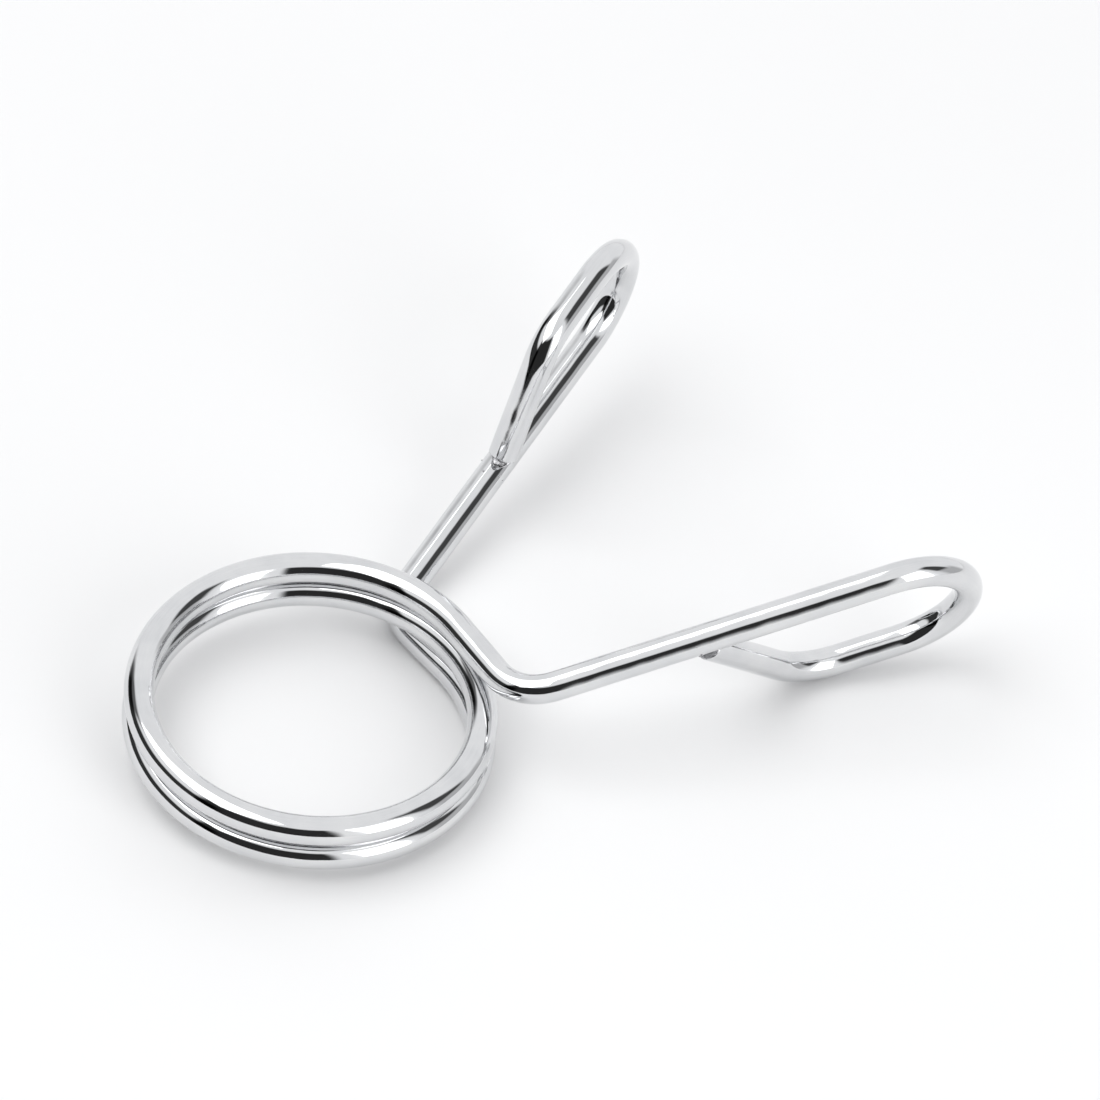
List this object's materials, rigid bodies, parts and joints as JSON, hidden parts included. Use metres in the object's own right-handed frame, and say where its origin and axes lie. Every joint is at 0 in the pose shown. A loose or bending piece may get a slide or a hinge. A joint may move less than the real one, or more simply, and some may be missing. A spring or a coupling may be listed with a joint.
{
  "type": "barbell spring collar",
  "caption": "Spring collar bent from one round wire: a coil of two turns grips a bar, and two crossed legs end in finger loops that are squeezed to open it.",
  "frame": {"origin": "centre of the coil, on the bar's axis and half way along the coil", "axes": "+Z along the coil's axis, +X from the coil towards the two legs, +Y completes a right-handed frame"},
  "size_m": [0.1301, 0.0853, 0.037],
  "materials": {
    "chrome_wire": "bright chrome plate on spring steel wire",
    "weld": "small plated weld bead, duller than the wire"
  },
  "bodies": {
    "coil_centre": {"coil_centre": "chrome_wire"},
    "coil_upper_1": {"coil_upper_1": "chrome_wire"},
    "coil_upper_2": {"coil_upper_2": "chrome_wire"},
    "coil_upper_3": {"coil_upper_3": "chrome_wire"},
    "upper_handle": {"upper_neck_bend": "chrome_wire", "upper_leg": "chrome_wire", "upper_loop": "chrome_wire", "upper_weld": "weld"},
    "coil_lower_1": {"coil_lower_1": "chrome_wire"},
    "coil_lower_2": {"coil_lower_2": "chrome_wire"},
    "coil_lower_3": {"coil_lower_3": "chrome_wire"},
    "lower_handle": {"lower_neck_bend": "chrome_wire", "lower_leg": "chrome_wire", "lower_loop": "chrome_wire", "lower_weld": "weld"}
  },
  "joints": [
    {"name": "squeeze", "type": "hinge", "parent": "coil_centre", "child": "coil_upper_1", "pos_m": [0.01909, -0.01909, 0.00066], "axis": [0, 0, 1], "range_deg": [0, 4.5], "stiffness_Nm_per_rad": 123},
    {"name": "flex_upper_2", "type": "hinge", "parent": "coil_upper_1", "child": "coil_upper_2", "pos_m": [-0.01909, -0.01909, 0.00199], "axis": [0, 0, 1], "range_deg": [0, 4.5], "stiffness_Nm_per_rad": 123},
    {"name": "flex_upper_3", "type": "hinge", "parent": "coil_upper_2", "child": "coil_upper_3", "pos_m": [-0.01909, 0.01909, 0.00331], "axis": [0, 0, 1], "range_deg": [0, 4.5], "stiffness_Nm_per_rad": 123},
    {"name": "flex_upper_4", "type": "hinge", "parent": "coil_upper_3", "child": "upper_handle", "pos_m": [0.01909, 0.01909, 0.00464], "axis": [0, 0, 1], "range_deg": [0, 4.5], "stiffness_Nm_per_rad": 123},
    {"name": "flex_lower_1", "type": "hinge", "parent": "coil_centre", "child": "coil_lower_1", "pos_m": [0.01909, 0.01909, -0.00066], "axis": [0, 0, -1], "range_deg": [0, 4.5], "stiffness_Nm_per_rad": 123},
    {"name": "flex_lower_2", "type": "hinge", "parent": "coil_lower_1", "child": "coil_lower_2", "pos_m": [-0.01909, 0.01909, -0.00199], "axis": [0, 0, -1], "range_deg": [0, 4.5], "stiffness_Nm_per_rad": 123},
    {"name": "flex_lower_3", "type": "hinge", "parent": "coil_lower_2", "child": "coil_lower_3", "pos_m": [-0.01909, -0.01909, -0.00331], "axis": [0, 0, -1], "range_deg": [0, 4.5], "stiffness_Nm_per_rad": 123},
    {"name": "flex_lower_4", "type": "hinge", "parent": "coil_lower_3", "child": "lower_handle", "pos_m": [0.01909, -0.01909, -0.00464], "axis": [0, 0, -1], "range_deg": [0, 4.5], "stiffness_Nm_per_rad": 123}
  ],
  "couplings": [
    {"joint": "flex_upper_2", "follows": "squeeze", "ratio": 1},
    {"joint": "flex_upper_3", "follows": "squeeze", "ratio": 1},
    {"joint": "flex_upper_4", "follows": "squeeze", "ratio": 1},
    {"joint": "flex_lower_1", "follows": "squeeze", "ratio": 1},
    {"joint": "flex_lower_2", "follows": "squeeze", "ratio": 1},
    {"joint": "flex_lower_3", "follows": "squeeze", "ratio": 1},
    {"joint": "flex_lower_4", "follows": "squeeze", "ratio": 1}
  ]
}
